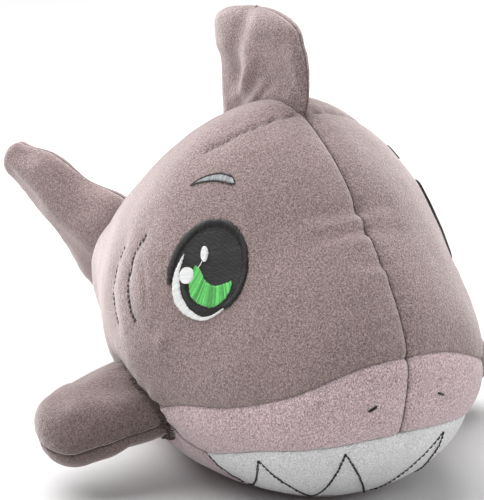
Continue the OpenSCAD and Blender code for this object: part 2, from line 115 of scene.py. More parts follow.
# Fin sections: [one edge p, q, other edge p, q, half thickness] in the fin's own plane
SIDE_FIN_WIDTH = 54
SIDE_FIN_REACH = 35
SIDE_FIN_THICKNESS = 34
SIDE_FIN_ROOT_HALF = 15
SIDE_FIN = np.array([
    [0, 0.46 * SIDE_FIN_WIDTH, 0, -0.5 * SIDE_FIN_WIDTH, SIDE_FIN_ROOT_HALF],
    [0.28 * SIDE_FIN_REACH, 0.43 * SIDE_FIN_WIDTH, 0.24 * SIDE_FIN_REACH, -0.52 * SIDE_FIN_WIDTH,
     0.46 * SIDE_FIN_THICKNESS],
    [0.62 * SIDE_FIN_REACH, 0.33 * SIDE_FIN_WIDTH, 0.48 * SIDE_FIN_REACH, -0.49 * SIDE_FIN_WIDTH,
     0.44 * SIDE_FIN_THICKNESS]], float)
SIDE_FIN_TIP = 0.45 * SIDE_FIN_REACH
SIDE_FIN_HINGE = np.array([-89, 15, 34.5])
SIDE_FIN_PITCH = 6
SIDE_FIN_DROOP = 21
BACK_FIN = np.array([
    [-10, 171.5, 63, 151.5, 5.5],
    [-12, 180.5, 64.5, 178, 7.6],
    [-10.5, 191, 67.5, 190, 9],
    [-5.5, 201, 69, 199.5, 8.6]], float)
BACK_FIN_TIP = 11.5
TAIL_FIN = np.array([
    [2, 27, 15, 29, 5.5],
    [-5, 38, 25, 36, 8],
    [-6, 60, 36, 43.5, 10.4],
    [0, 87, 47, 56, 11.8],
    [30, 96.5, 59.5, 67, 11.8],
    [55, 106, 73.5, 77.5, 10.4],
    [77, 108.5, 87, 87.5, 8.4]], float)
TAIL_FIN_TIP = 9
TAIL_FIN_FOOT = 4

# Folds of the back fin's cloth: (points [y, z], height, half width)
BACK_FIN_FOLDS = [
    ([[34, 212], [35, 203], [39, 190], [42, 180], [47, 171]], -3, 8),
    ([[48.6, 167.4], [38.3, 174], [25.4, 185.2], [22.7, 189.8]], 1.9, 4),
    ([[50.7, 158.8], [37.5, 167], [24.6, 177.8], [19.2, 185.3]], -2.4, 3.6),
    ([[33.9, 162.4], [22.9, 172.5], [12.1, 181.8]], 1.7, 2.6),
    ([[29, 161], [17, 173], [6, 181]], -1.2, 1.8),
    ([[23, 165.9], [10.4, 175.6], [-1.7, 181.9]], 1.7, 2.6),
    ([[18, 166.5], [8, 174.5], [-4, 179]], -1.2, 1.8),
    ([[14, 167.5], [5.2, 174], [-6.9, 177]], 1.9, 3.4),
]

rng = np.random.default_rng(7)


def spline(rows, u, lead=None):
    """Smooth curve through rows of numbers; lead is the row before the first one."""
    rows = np.asarray(rows, float)
    last = len(rows) - 1
    lead = 2 * rows[0] - rows[1] if lead is None else lead
    u = np.clip(np.asarray(u, float), 0, last)
    i = np.minimum(u.astype(int), last - 1)
    f = (u - i)[..., None]
    padded = np.vstack([lead, rows, 2 * rows[-1] - rows[-2]])
    a, b, c, d = (padded[i + k] for k in range(4))
    return 0.5 * (2 * b + (c - a) * f + (2 * a - 5 * b + 4 * c - d) * f ** 2
                  + (3 * b - a - 3 * c + d) * f ** 3)


NOSE_LEAD = 2 * STATIONS[0] - STATIONS[1]
NOSE_LEAD[0] = STATIONS[1][0]


def body_at(u, degrees):
    """Point of the body at a station and an angle from 0 to 180, on the left side."""
    y, top, bottom, half, widest = np.moveaxis(spline(STATIONS, u, NOSE_LEAD), -1, 0)
    upper = degrees < 90
    power = 2 / np.where(upper, BACK_ROUNDNESS, BELLY_ROUNDNESS)
    a = np.radians(degrees)
    rise = np.where(upper, top - widest, bottom - widest) * np.abs(np.cos(a)) ** power
    return np.stack([half * np.abs(np.sin(a)) ** power, y, widest + rise], -1)


def chart(rows):
    """[station, angle] to the skin's flat chart, polar about the nose; x < 0 is the right side."""
    rows = np.asarray(rows, float)
    a = np.radians(rows[..., 1])
    return np.stack([rows[..., 0] * np.sin(a), rows[..., 0] * np.cos(a)], -1)


def polar(c):
    """Chart point to [station, angle from 0 to 180]."""
    return np.stack([np.hypot(c[..., 0], c[..., 1]),
                     np.degrees(np.abs(np.arctan2(c[..., 0], c[..., 1])))], -1)


def round_polar(c):
    """Chart point to [station, angle from 0 to 360], where the right side is past 180."""
    p = polar(c)
    p[..., 1] = np.where(c[..., 0] < 0, 360 - p[..., 1], p[..., 1])
    return p


def on_body(c):
    p = polar(c)
    q = body_at(p[..., 0], p[..., 1])
    q[..., 0] *= np.where(c[..., 0] < 0, -1, 1)
    return q


CHART_STEP = 0.004
TINY = 1e-9


def tangents(c):
    """How the body's point moves over two steps of each chart axis."""
    return [on_body(c + step) - on_body(c - step) for step in CHART_STEP * np.eye(2)]


def normal_at(c):
    n = np.cross(*tangents(c))
    return n / np.maximum(np.linalg.norm(n, axis=-1, keepdims=True), TINY)


def curve(rows, count):
    """Chart points along a smooth curve through [station, angle] rows."""
    return spline(chart(rows), np.linspace(0, len(rows) - 1, count))


def both_sides(points):
    """A curve that starts on the middle line, carried on to the right side too."""
    return np.vstack([(points * [-1, 1])[:0:-1], points])


def root_ring(degrees):
    a = np.radians(degrees)
    return chart(np.stack([ROOT_SPOT[0] + ROOT_SIZE[0] * np.cos(a),
                           ROOT_SPOT[1] + ROOT_SIZE[1] * np.sin(a)], -1))


def run_along(points):
    """How far along a line each of its points is."""
    return np.concatenate([[0], np.cumsum(np.linalg.norm(np.diff(points, axis=0), axis=1))])


def nearest(points, line):
    """Distance from each point to a line of points, and how far along it the nearest place is."""
    best = np.full(points.shape[:-1], 1e9)
    along = np.zeros(points.shape[:-1])
    start = 0.0
    for a, b in zip(line[:-1], line[1:]):
        step = b - a
        length = np.linalg.norm(step)
        t = np.clip((points - a) @ step / max(length ** 2, 1e-12), 0, 1)
        d = np.linalg.norm(points - a - t[..., None] * step, axis=-1)
        closer = d < best
        best = np.where(closer, d, best)
        along = np.where(closer, start + t * length, along)
        start += length
    return best, along


WAVE_COUNT = 14


def waves(points, lengths, seed):
    """Smooth random swells, from -1 to 1, with wave lengths in the given span."""
    random = np.random.default_rng(seed)
    total = np.zeros(points.shape[:-1])
    for _ in range(WAVE_COUNT):
        direction = random.normal(size=3)
        direction *= 2 * math.pi / (np.linalg.norm(direction) * random.uniform(*lengths))
        total += np.sin(points @ direction + random.uniform(0, 6.3))
    return total / math.sqrt(WAVE_COUNT)


def uneven(points):
    """Broad and fine unevenness of the filled body, in millimetres."""
    return 0.45 * waves(points, (38, 75), 3) + 0.1 * waves(points, (11, 19), 5)


# ---- Relief of the sewn cloth ----


def beside_seam(d):
    """Strength of the puckers at a distance from a seam: none in it, most just beside it."""
    return np.exp(-d / 5) * (1 - np.exp(-d / 1.3))


# Seams as (line of points, depth, half width, pucker, painted seam shade with the parted nap's
# darkening)
SEAMS = []


def add_seam(charted, depth=1.7, width=1.7, pucker=0.4, nap_and_shade=0.8):
    SEAMS.append((on_body(charted), depth, width, pucker, nap_and_shade))


def mirrored(c):
    """A left side's chart points on the right side."""
    return c * [-1, 1]


def as_drawn(c):
    return c


def find_back(y):
    """Chart point on the back's middle line above y."""
    u = np.linspace(0, len(STATIONS) - 1, 1801)
    at = np.interp(y, spline(STATIONS, u, NOSE_LEAD)[:, 0], u)
    return np.stack([0 * at, at], -1)


add_seam(np.stack([np.zeros(120), np.linspace(-0.8, 9, 120)], -1))
add_seam(both_sides(curve(MOUTH_TOP, 50)), 1, 1.2, 0.2, 0.25)
add_seam(both_sides(curve(MOUTH_BOTTOM, 50)), 1.2, 1.4, 0.3, 0.4)
for flip in (as_drawn, mirrored):
    add_seam(flip(curve(TAUPE_EDGE, 110)), 1.4, 1.5, 0.3, 0.35)
    add_seam(flip(curve(MUZZLE_CORNER, 12)), 1.1, 1.3, 0.3, 0.25)
    add_seam(flip(curve(DART, 24)), 1.3, 0.9, 0.15, 0.9)
    add_seam(flip(root_ring(np.linspace(0, 360, 60))), 2.2, 3, 0.7, 0.8)
    add_seam(flip(curve(GILL_FRONT, 20)), 0.9, 1, 0.12, 0.6)
    add_seam(flip(curve(GILL_REAR, 20)), 0.9, 1, 0.12, 0.5)
add_seam(curve(CLOSING_SEAM, 20), 1.2, 1.6, 0.6)


CROWN = 0.9
CREASE_GAIN = 1.5
BITE_LENGTH = 2.6


def relief(c):
    """Height of the cloth over the plain body, and the darkening along seams from 0 to 1: partly
    the parted nap, partly painted crevice shade.
    """
    points = on_body(c)
    crown = np.full(c.shape[:-1], 1.0)
    height = uneven(points)
    nap_and_shade = np.zeros(c.shape[:-1])
    for k, (line, depth, width, pucker, nap_and_shade_strength) in enumerate(SEAMS):
        d, s = nearest(points, line)
        bite = 1 + 0.08 * np.sin(2 * math.pi * s / BITE_LENGTH + k)
        height -= depth * bite * np.exp(-d / width)
        crown = np.minimum(crown, 1 - np.exp(-(d / 9) ** 2))
        phase = 1.8 * np.sin(s / 13 + k) + 1.2 * np.sin(s / 5.3 + 2 * k)
        height += pucker * beside_seam(d) * np.sin(2 * math.pi * s / 7.5 + phase)
        # painted shade in each seam's groove, with the parted nap's darkening
        nap_and_shade = np.maximum(nap_and_shade, nap_and_shade_strength * np.exp(-(d / 0.6) ** 2))
    for rows, rise, width in CREASES:
        line = on_body(curve(rows, 12))
        d, s = nearest(points, line)
        length = run_along(line)[-1]
        ends = np.clip(np.minimum(s, length - s) / (0.3 * length), 0, 1)
        # a crease that runs into the back seam doesn't fade out there
        if abs(rows[-1][1]) <= 1.5:
            ends = np.clip(s / (0.5 * length), 0, 1)
        if abs(rows[0][1]) <= 2.5:
            ends = np.clip((length - s) / (0.5 * length), 0, 1)
        strength = (0.15 + 0.85 * ends ** 0.7) * (ends > 0)
        height += CREASE_GAIN * rise * strength * np.exp(-(d / width) ** 2)
    return height + CROWN * crown, nap_and_shade


FLOOR_ROUNDING = 2.5


def rest_on_floor(points):
    """Presses what lies below the floor flat, with a round edge."""
    z = points[..., 2]
    out = points.copy()
    out[..., 2] = 0.5 * (z + np.sqrt(z ** 2 + FLOOR_ROUNDING ** 2)) - 0.2
    return out


def cloth_point(c):
    """Point of the cloth's face over a chart point."""
    height, _ = relief(c)
    return rest_on_floor(on_body(c) + height[..., None] * normal_at(c))


# ---- Materials ----


def new_material(name):
    material = bpy.data.materials.new(name)
    material.use_nodes = True
    nodes = material.node_tree.nodes
    return material, nodes, material.node_tree.links, nodes["Principled BSDF"]


def settle(node, **values):
    """Sets a node's sockets; _ in a name stands for a space."""
    for key, value in values.items():
        node.inputs[key.replace("_", " ")].default_value = value


def noise(nodes, links, source, scale, detail, rough):
    node = nodes.new("ShaderNodeTexNoise")
    settle(node, Scale=scale, Detail=detail, Roughness=rough)
    links.new(source, node.inputs["Vector"])
    return node.outputs["Fac"]


def math_node(nodes, links, operation, a, b, c=None):
    node = nodes.new("ShaderNodeMath")
    node.operation = operation
    for socket, value in zip(node.inputs, (a, b, c)):
        if isinstance(value, (int, float)):
            socket.default_value = value
        elif value is not None:
            links.new(value, socket)
    return node.outputs[0]


def ramp(nodes, links, fac, stops):
    node = nodes.new("ShaderNodeValToRGB")
    elements = node.color_ramp.elements
    while len(elements) < len(stops):
        elements.new(0.5)
    for element, (place, colour) in zip(elements, stops):
        element.position = place
        element.color = (*colour, 1)
    links.new(fac, node.inputs["Fac"])
    return node.outputs["Color"]


def shade(colour, share):
    return tuple(min(1, x * share) for x in colour)


def stretched(nodes, links, scale):
    coords = nodes.new("ShaderNodeTexCoord")
    mapping = nodes.new("ShaderNodeMapping")
    mapping.inputs["Scale"].default_value = scale
    links.new(coords.outputs["Object"], mapping.inputs["Vector"])
    return mapping.outputs["Vector"]


def velour(name, colour, tint, sheen=1.0, contrast=1.0):
    """Short-pile cloth: grain of the pile, faint brushed patches, a pale sheen, and seams darkened
    partly by the parted nap and partly by painted shade.
    """
    material, nodes, links, shader = new_material(name)
    plain = stretched(nodes, links, (1, 1, 1))
    pile = stretched(nodes, links, (1, 0.7, 0.7))
    grain = noise(nodes, links, pile, 2600, 1, 0.5)
    tufts = noise(nodes, links, pile, 1450, 2, 0.6)
    brushed = noise(nodes, links, plain, 30, 2, 0.5)
    mix = math_node(nodes, links, "MULTIPLY_ADD", grain, 1.7 * contrast, 0.55 - 1.5 * contrast)
    mix = math_node(nodes, links, "MULTIPLY_ADD", tufts, 1.3 * contrast, mix)
    mix = math_node(nodes, links, "MULTIPLY_ADD", brushed, 0.22, mix)
    # darker along seams and fin roots: partly the parted nap, partly painted crevice shade
    seam = nodes.new("ShaderNodeAttribute")
    seam.attribute_name = "seam"
    mix = math_node(nodes, links, "MULTIPLY_ADD", seam.outputs["Fac"], -0.55, mix)
    links.new(ramp(nodes, links, mix, [
        (0.0, shade(colour, 0.22)), (0.35, shade(colour, 0.62)), (0.68, colour),
        (1.0, shade(colour, 1.6)),
    ]), shader.inputs["Base Color"])
    height = math_node(nodes, links, "MULTIPLY_ADD", grain, 0.5, tufts)
    bump = nodes.new("ShaderNodeBump")
    settle(bump, Strength=0.8, Distance=0.0006)
    links.new(height, bump.inputs["Height"])
    links.new(bump.outputs["Normal"], shader.inputs["Normal"])
    settle(shader, Roughness=0.95, Specular_IOR_Level=0.1, Sheen_Weight=sheen,
           Sheen_Roughness=0.4, Sheen_Tint=(*tint, 1))
    return material


def thread(name, colour, rough, contrast):
    """Shiny embroidery thread: each strand has a tone of its own and fine fibres; the tone
    attribute also carries painted shade between strands.
    """
    material, nodes, links, shader = new_material(name)
    plain = stretched(nodes, links, (1, 1, 1))
    fibres = noise(nodes, links, plain, 1900, 2, 0.6)
    tone_and_shade = nodes.new("ShaderNodeAttribute")
    tone_and_shade.attribute_name = "tone_and_shade"
    mix = math_node(nodes, links, "MULTIPLY", fibres, 0.4)
    mix = math_node(nodes, links, "MULTIPLY_ADD", tone_and_shade.outputs["Fac"], 0.6, mix)
    links.new(ramp(nodes, links, mix, [
        (0.1, shade(colour, 1 - contrast)), (0.5, colour), (0.85, shade(colour, 1 + contrast)),
    ]), shader.inputs["Base Color"])
    bump = nodes.new("ShaderNodeBump")
    settle(bump, Strength=0.5, Distance=0.0002)
    links.new(fibres, bump.inputs["Height"])
    links.new(bump.outputs["Normal"], shader.inputs["Normal"])
    settle(shader, Roughness=rough, Specular_IOR_Level=0.35)
    return material


TAUPE = velour("taupe_velour", (0.27, 0.205, 0.2), (1, 0.9, 0.9))
# a darker copy of the taupe for the side fins: painted shade standing in for the shadow on the
# fins' faces
SHADED_TAUPE = velour("fin_velour_painted_shade", (0.165, 0.122, 0.118), (1, 0.9, 0.9))
PINK = velour("pink_velour", (0.52, 0.4, 0.42), (1, 0.93, 0.95), 0.8)
WHITE = velour("white_velour", (0.74, 0.74, 0.75), (1, 1, 1), 0.5, 0.6)
BLACK_THREAD = thread("black_thread", (0.016, 0.014, 0.014), 0.4, 0.6)
WHITE_THREAD = thread("white_thread", (0.86, 0.87, 0.86), 0.45, 0.1)
GREEN_THREAD = thread("green_thread", (0.15, 0.62, 0.16), 0.42, 0.5)
SILVER_THREAD = thread("silver_thread", (0.36, 0.38, 0.39), 0.4, 0.35)
DARK_THREAD = thread("dark_thread", (0.05, 0.04, 0.042), 0.5, 0.6)
TAUPE_THREAD = thread("taupe_thread", (0.16, 0.12, 0.12), 0.6, 0.4)
BROWN_THREAD = thread("brown_thread", (0.085, 0.055, 0.05), 0.6, 0.6)
TAPE = thread("label_tape", (0.5, 0.49, 0.47), 0.6, 0.12)

# ---- Meshes ----


def grid_faces(rows, columns, wrap=False):
    i, j = np.meshgrid(np.arange(rows - 1), np.arange(columns if wrap else columns - 1),
                       indexing="ij")
    k = (j + 1) % columns
    corners = [i * columns + j, i * columns + k, (i + 1) * columns + k, (i + 1) * columns + j]
    return np.stack(corners, -1).reshape(-1, 4)


def crossed(flat, quads):
    """A normal for each four-sided face, as long as its area is large."""
    return np.cross(flat[quads[:, 2]] - flat[quads[:, 0]], flat[quads[:, 3]] - flat[quads[:, 1]])


def facing(quads, flat, normals):
    """The faces, turned over if they look against the normals of their points."""
    return quads if (crossed(flat, quads) * normals[quads[:, 0]]).sum() >= 0 else quads[:, ::-1]


def add_piece(name, points, faces, material, attributes=None):
    """A mesh piece from points in the shape's own millimetres."""
    mesh = bpy.data.meshes.new(name)
    placed = (np.asarray(points).reshape(-1, 3) - [0, MIDDLE_Y, 0]) * MM
    mesh.from_pydata(placed.tolist(), [], [tuple(int(x) for x in f) for f in faces])
    for key, values in (attributes or {}).items():
        mesh.attributes.new(key, "FLOAT", "POINT").data.foreach_set(
            "value", np.asarray(values, np.float32).ravel())
    mesh.materials.append(material)
    mesh.shade_smooth()
    piece = bpy.data.objects.new(name, mesh)
    bpy.context.scene.collection.objects.link(piece)
    return piece


WELD_DISTANCE = 0.00002


def weld(piece):
    """Joins the points that fall together where a panel ends in a point."""
    made = bmesh.new()
    made.from_mesh(piece.data)
    bmesh.ops.remove_doubles(made, verts=made.verts, dist=WELD_DISTANCE)
    made.to_mesh(piece.data)
    made.free()
    piece.data.shade_smooth()


CLOTH_THICKNESS = 0.0012


def make_thick(piece):
    shell = piece.modifiers.new("thickness", "SOLIDIFY")
    shell.thickness = CLOTH_THICKNESS
    shell.offset = -1


EASE = 0.55


def eased(count):
    """Numbers from 0 to 1 that lie closer together near both ends."""
    t = np.linspace(0, 1, count)
    return (1 - EASE) * t + EASE * (1 - np.cos(math.pi * t)) / 2


def panel(name, charted, material, slot, *nodes):
    """A body panel over a grid of chart points."""
    height, nap_and_shade = relief(charted)
    normals = normal_at(charted)
    points = rest_on_floor(on_body(charted) + height[..., None] * normals)
    faces = facing(grid_faces(*charted.shape[:2]), points.reshape(-1, 3), normals.reshape(-1, 3))
    piece = add_piece(name, points, faces, material, {"seam": nap_and_shade})
    weld(piece)
    make_thick(piece)
    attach(piece, "torso")
    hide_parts(*nodes)


def lerp(a, b, t):
    """Rows of points between two edges of the same length."""
    t = np.asarray(t)[None, :, None]
    return a[:, None, :] * (1 - t) + b[:, None, :] * t


def make_body():
    rows = 150
    seam_u = [[e[0], 0] for e in TAUPE_EDGE]
    side = chart(lerp(polar(curve(seam_u, rows)), polar(curve(TAUPE_EDGE, rows)), eased(92)))
    along = eased(70)
    top = spline(chart(TAUPE_EDGE), along * MUZZLE_REAR)
    mouth_end = len(MOUTH_TOP) - 1
    below = np.where((along * MUZZLE_REAR <= mouth_end)[:, None],
                     spline(chart(MOUTH_TOP), along * MUZZLE_REAR),
                     spline(chart(MUZZLE_CORNER), along * MUZZLE_REAR - mouth_end))
    muzzle = lerp(top, below, eased(44))
    for name, flip in (("left", as_drawn), ("right", mirrored)):
        more = ["body_fill"] if name == "left" else []
        panel("side_cloth_" + name, flip(side), TAUPE, "taupe_velour", "side_panel_" + name, *more)
        panel("muzzle_cloth_" + name, flip(muzzle), PINK, "pink_velour", "muzzle_panel_" + name)
    across = 97
    lip = round_polar(both_sides(curve(MOUTH_TOP, across // 2 + 1)))
    front = round_polar(both_sides(curve(MOUTH_BOTTOM, across // 2 + 1)))
    panel("mouth_cloth", chart(lerp(lip, front, eased(32))), WHITE, "white_velour", "mouth_panel")
    rear = polar(spline(chart(TAUPE_EDGE), np.linspace(MUZZLE_REAR, len(TAUPE_EDGE) - 1, 80)))
    rear_rows = np.stack([np.broadcast_to(rear[:, :1], (len(rear), across)),
                          180 + (180 - rear[:, 1:]) * np.linspace(1, -1, across)], -1)
    front_rows = np.swapaxes(lerp(front, rear_rows[0], np.linspace(0, 1, 25)[:-1]), 0, 1)
    panel("belly_cloth", chart(np.concatenate([front_rows, rear_rows])), PINK, "pink_velour",
          "belly_panel")


make_body()

# ---- Fins, inflated as cloth ----


def turn(p, axis, degrees):
    """Points turned about the x, y or z axis (0, 1 or 2)."""
    a = math.radians(degrees)
    i, j = (axis + 1) % 3, (axis + 2) % 3
    out = np.array(p, float)
    out[..., i] = p[..., i] * math.cos(a) - p[..., j] * math.sin(a)
    out[..., j] = p[..., i] * math.sin(a) + p[..., j] * math.cos(a)
    return out


def place_side(p):
    outward = turn(p * [-1, -1, 1], 0, SIDE_FIN_PITCH)
    return SIDE_FIN_HINGE + turn(outward, 1, -SIDE_FIN_DROOP)


ROOT_SUNK = 2.5
ROOT_FADE = 26


def place_back(p):
    front, rear = BACK_FIN[0][:2], BACK_FIN[0][2:4]
    drawn_root = front[1] + (rear[1] - front[1]) * (p[..., 0] - front[0]) / (rear[0] - front[0])
    back_height = on_body(find_back(p[..., 0]))[..., 2]
    fade = np.clip(1 - (p[..., 1] - drawn_root) / ROOT_FADE, 0, 1)
    lift = (back_height - ROOT_SUNK - drawn_root) * fade
    return np.stack([p[..., 2], p[..., 0], p[..., 1] + lift], -1)


def place_tail(p):
    upright = np.stack([p[..., 2], p[..., 0], p[..., 1]], -1)
    return np.array([0, TAIL_Y, 0]) + turn(upright, 2, TAIL_REST)


def fin_at(rows, tip, u, t, foot=0):
    """Point of a fin in its own plane; t runs round the section, from one seam over a face.

    u counts the rows; past the last row the fin rounds off to its tip, below 0 to its foot.
    """
    last = len(rows) - 1
    turn = np.clip(np.maximum(u - last, -u), 0, 1) * math.pi / 2
    s = spline(rows, u)
    tip = np.where(u < 0, -foot, tip)
    half = (s[..., 2:4] - s[..., 0:2]) / 2
    out = np.stack([-half[..., 1], half[..., 0]], -1) / np.linalg.norm(half, axis=-1, keepdims=True)
    p = ((s[..., 2:4] + s[..., 0:2]) / 2 + out * (tip * np.sin(turn))[..., None]
         + half * (np.cos(turn) * np.cos(t))[..., None])
    return np.concatenate([p, (s[..., 4] * np.cos(turn) * np.sin(t))[..., None]], -1)


SIM_FRAMES = 20
PRESSURE = 4
SLACK = 0.03
CALMING_ROUNDS = 2
PINNED_ROOT_ROWS = 2
PINNED_TIP_ROWS = 7
SEAM_PIN = 0.6


def round_end(count):
    """Numbers from 0 to 1, closer together where a rounded tip turns in."""
    return np.sin(np.linspace(0, 1, count) * math.pi / 2) ** 0.9


def calmed(shift):
    """Evens out a field over a closed fin's grid."""
    for _ in range(CALMING_ROUNDS):
        around = (np.roll(shift, 1, 1) + shift + np.roll(shift, -1, 1)) / 3
        along = np.pad(around, ((1, 1), (0, 0), (0, 0)), mode="edge")
        shift = (along[:-2] + along[1:-1] + along[2:]) / 3
        shift[-1] = shift[-1].mean(0)
    return shift


def pins(rows, columns):
    """Weights that hold a fin's root and tip fast and its seams in line."""
    weights = np.zeros((rows, columns))
    weights[:, [0, columns // 2]] = SEAM_PIN
    weights[-PINNED_TIP_ROWS:] = 1
    weights[:PINNED_ROOT_ROWS] = 1
    return weights


def inflate(points, limit):
    """Swells a closed fin as cloth, by at most limit; points are rings from the root to the tip."""
    rows, columns = points.shape[:2]
    pinned = pins(rows, columns)
    rings = points[:-1]
    flat = np.vstack([rings.reshape(-1, 3), points[-1].mean(0), rings[0].mean(0)])
    tip, root = len(flat) - 2, len(flat) - 1
    end = (rows - 2) * columns
    faces = [tuple(f) for f in grid_faces(rows - 1, columns, True)]
    faces += [(end + j, end + (j + 1) % columns, tip) for j in range(columns)]
    faces += [((j + 1) % columns, j, root) for j in range(columns)]
    piece = add_piece("swelling", flat, faces, TAUPE)
    weights = np.append(pinned[:-1].ravel(), [pinned[-1].max(), 1.0])
    group = piece.vertex_groups.new(name="pin")
    for k in np.nonzero(weights > 0)[0]:
        group.add([int(k)], float(weights[k]), "REPLACE")
    cloth = piece.modifiers.new("cloth", "CLOTH")
    settings = cloth.settings
    settings.quality = 6
    settings.mass = 0.25
    settings.tension_stiffness = 12
    settings.compression_stiffness = 12
    settings.shear_stiffness = 4
    settings.bending_stiffness = 0.15
    settings.use_pressure = True
    settings.uniform_pressure_force = PRESSURE
    settings.shrink_min = -SLACK
    settings.effector_weights.gravity = 0
    settings.vertex_group_mass = "pin"
    cloth.point_cache.frame_start = 1
    cloth.point_cache.frame_end = SIM_FRAMES
    for step in range(1, SIM_FRAMES + 1):
        bpy.context.scene.frame_set(step)
    swollen = piece.evaluated_get(bpy.context.evaluated_depsgraph_get()).to_mesh()
    moved = np.zeros(len(flat) * 3)
    swollen.vertices.foreach_get("co", moved)
    moved = moved.reshape(-1, 3) / MM + [0, MIDDLE_Y, 0]
    bpy.context.scene.frame_set(1)
    bpy.data.objects.remove(piece)
    shift = moved - flat
    length = np.linalg.norm(shift, axis=1, keepdims=True)
    shift *= np.minimum(1, limit / np.maximum(length, TINY))
    ringed = np.concatenate([shift[:end + columns].reshape(rings.shape),
                             np.broadcast_to(shift[tip], (1, columns, 3))])
    return points + calmed(ringed)


def ring_normals(points):
    """Outward directions over a closed fin's grid, with one direction for the whole tip."""
    flat = points.reshape(-1, 3)
    quads = grid_faces(*points.shape[:2], True)
    across = crossed(flat, quads)
    n = np.zeros_like(flat)
    for k in range(4):
        np.add.at(n, quads[:, k], across)
    n = n.reshape(points.shape)
    n[-1] = n[-1].sum(0)
    n /= np.maximum(np.linalg.norm(n, axis=-1, keepdims=True), 1e-12)
    outward = points - points.mean(1, keepdims=True)
    return n * (1 if (n * outward).sum() > 0 else -1)


def sew(points, depth, root_pucker, seed):
    """Sinks a fin's seam, with puckers beside it and at the root; gives the darkening too: painted
    shade in the seam and at the root, with the parted nap's darkening.
    """
    normals = ring_normals(points)
    height = 0.25 * waves(points, (24, 45), seed)
    middle = points.shape[1] // 2
    line = np.vstack([points[:, 0], points[-2::-1, middle]])
    d, s = nearest(points, line)
    height -= depth * (1 + 0.12 * np.sin(2 * math.pi * s / BITE_LENGTH)) * np.exp(-d / 1.5)
    phase = 1.8 * np.sin(s / 11 + seed) + 1.2 * np.sin(s / 5.3)
    height += 0.22 * beside_seam(d) * np.sin(2 * math.pi * s / 7 + phase)
    tip_distance = np.linalg.norm(points - points[-1, 0], axis=-1)
    # painted shade in the fin's seam groove, with the parted nap's darkening; none near the tip
    nap_and_shade = 0.7 * np.exp(-(d / 0.7) ** 2) * (1 - np.exp(-(tip_distance / 5) ** 2))
    if root_pucker:
        d, s = nearest(points, np.vstack([points[0], points[0][:1]]))
        phase = 2.2 * np.sin(s / 12 + seed) + np.sin(s / 4.7)
        height += root_pucker * np.exp(-d / 6) * np.sin(2 * math.pi * s / 9 + phase)
        # painted shade where the fin's root meets the body
        nap_and_shade = np.maximum(nap_and_shade, 0.7 * np.exp(-(d / 2.5) ** 2))
    return points + height[..., None] * normals, nap_and_shade


def fin_pieces(name, points, nap_and_shade, faces, cloth=TAUPE):
    """Two cloth pieces for a fin, one from each face; faces is (part of the name, CAD nodes)."""
    columns = points.shape[1]
    points, nap_and_shade, normals = (np.concatenate([grid, grid[:, :1]], 1)
                             for grid in (points, nap_and_shade, ring_normals(points)))
    for k, (part, nodes) in enumerate(faces):
        span = slice(k * columns // 2, (k + 1) * columns // 2 + 1)
        half = points[:, span]
        flat = half.reshape(-1, 3)
        quads = facing(grid_faces(*half.shape[:2]), flat, normals[:, span].reshape(-1, 3))
        piece = add_piece(f"{name}_{part}_cloth", flat, quads, cloth, {"seam": nap_and_shade[:, span]})
        weld(piece)
        piece.modifiers.new("smooth", "SUBSURF").levels = 1
        piece.modifiers["smooth"].render_levels = 1
        make_thick(piece)
        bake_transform(piece)
        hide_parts(*nodes)


def section_angles(columns):
    return np.arange(columns) * 2 * math.pi / columns


COLLAR_U = 0.4
COLLAR_ROWS = 6
COLLAR_HEIGHT = 7
SIDE_ROOT_SUNK = 3.2
FLOOR_GAP = 0.6


def make_side_fins():
    t = section_angles(64)

    def ring_at(u):
        return place_side(fin_at(SIDE_FIN, SIDE_FIN_TIP, np.full(len(t), u), t))

    root = root_ring(-np.degrees(t)) * [-1, 1]
    outward = normal_at(root)
    base = on_body(root) - SIDE_ROOT_SUNK * outward
    # the first rows lead from the ring of stitches on the body to the fin's own section
    rows = [(base + outward * COLLAR_HEIGHT * w) * (1 - w) + ring_at(COLLAR_U * w) * w
            for w in np.linspace(0, 1, COLLAR_ROWS + 1)[:-1]]
    last = len(SIDE_FIN) - 1
    rows += [ring_at(u) for u in np.concatenate([np.linspace(COLLAR_U, last, 12)[:-1],
                                                 last + round_end(14)])]
    points = inflate(np.array(rows), 2.5)
    points, nap_and_shade = sew(points, 1.2, 0.6, 11)
    points[..., 2] = np.maximum(points[..., 2], FLOOR_GAP)
    for side, sign in (("right", 1), ("left", -1)):
        fin_pieces("side_fin_" + side, points * [sign, 1, 1], nap_and_shade,
                   [("upper", [f"side_fin_{side}_upper_panel", f"side_fin_{side}_fill"]),
                    ("lower", [f"side_fin_{side}_lower_panel"])],
                   SHADED_TAUPE)


DEEP_FOLD = -2.6


def make_back_fin():
    t = section_angles(76)
    last = len(BACK_FIN) - 1
    spread = np.concatenate([np.linspace(0, last, 24)[:-1], last + round_end(12)])
    points = place_back(np.array([fin_at(BACK_FIN, BACK_FIN_TIP, np.full(len(t), u), t)
                                  for u in spread]))
    points = inflate(points, 2)
    right = points[..., 0] < 0
    offset = np.zeros(points.shape[:2])
    for rows, rise, width in BACK_FIN_FOLDS:
        line = spline(rows, np.linspace(0, len(rows) - 1, 12))
        d, s = nearest(points[..., 1:], line)
        length = run_along(line)[-1]
        fade = 1 if rise < DEEP_FOLD else np.clip((length - s) / (0.45 * length), 0, 1) ** 0.7
        offset += rise * fade * np.exp(-(d / width) ** 2) * np.where(right, 1, 0.55)
    # the folds fade out towards the seams, where the fin is thin
    thin = np.clip(np.abs(points[..., 0]) / 5, 0, 1)
    points[..., 0] += np.where(right, -1, 1) * offset * thin
    points, nap_and_shade = sew(points, 1, 0.25, 23)
    fin_pieces("back_fin", points, nap_and_shade, [("left", ["back_fin_left_panel", "back_fin_fill"]),
                                          ("right", ["back_fin_right_panel"])])


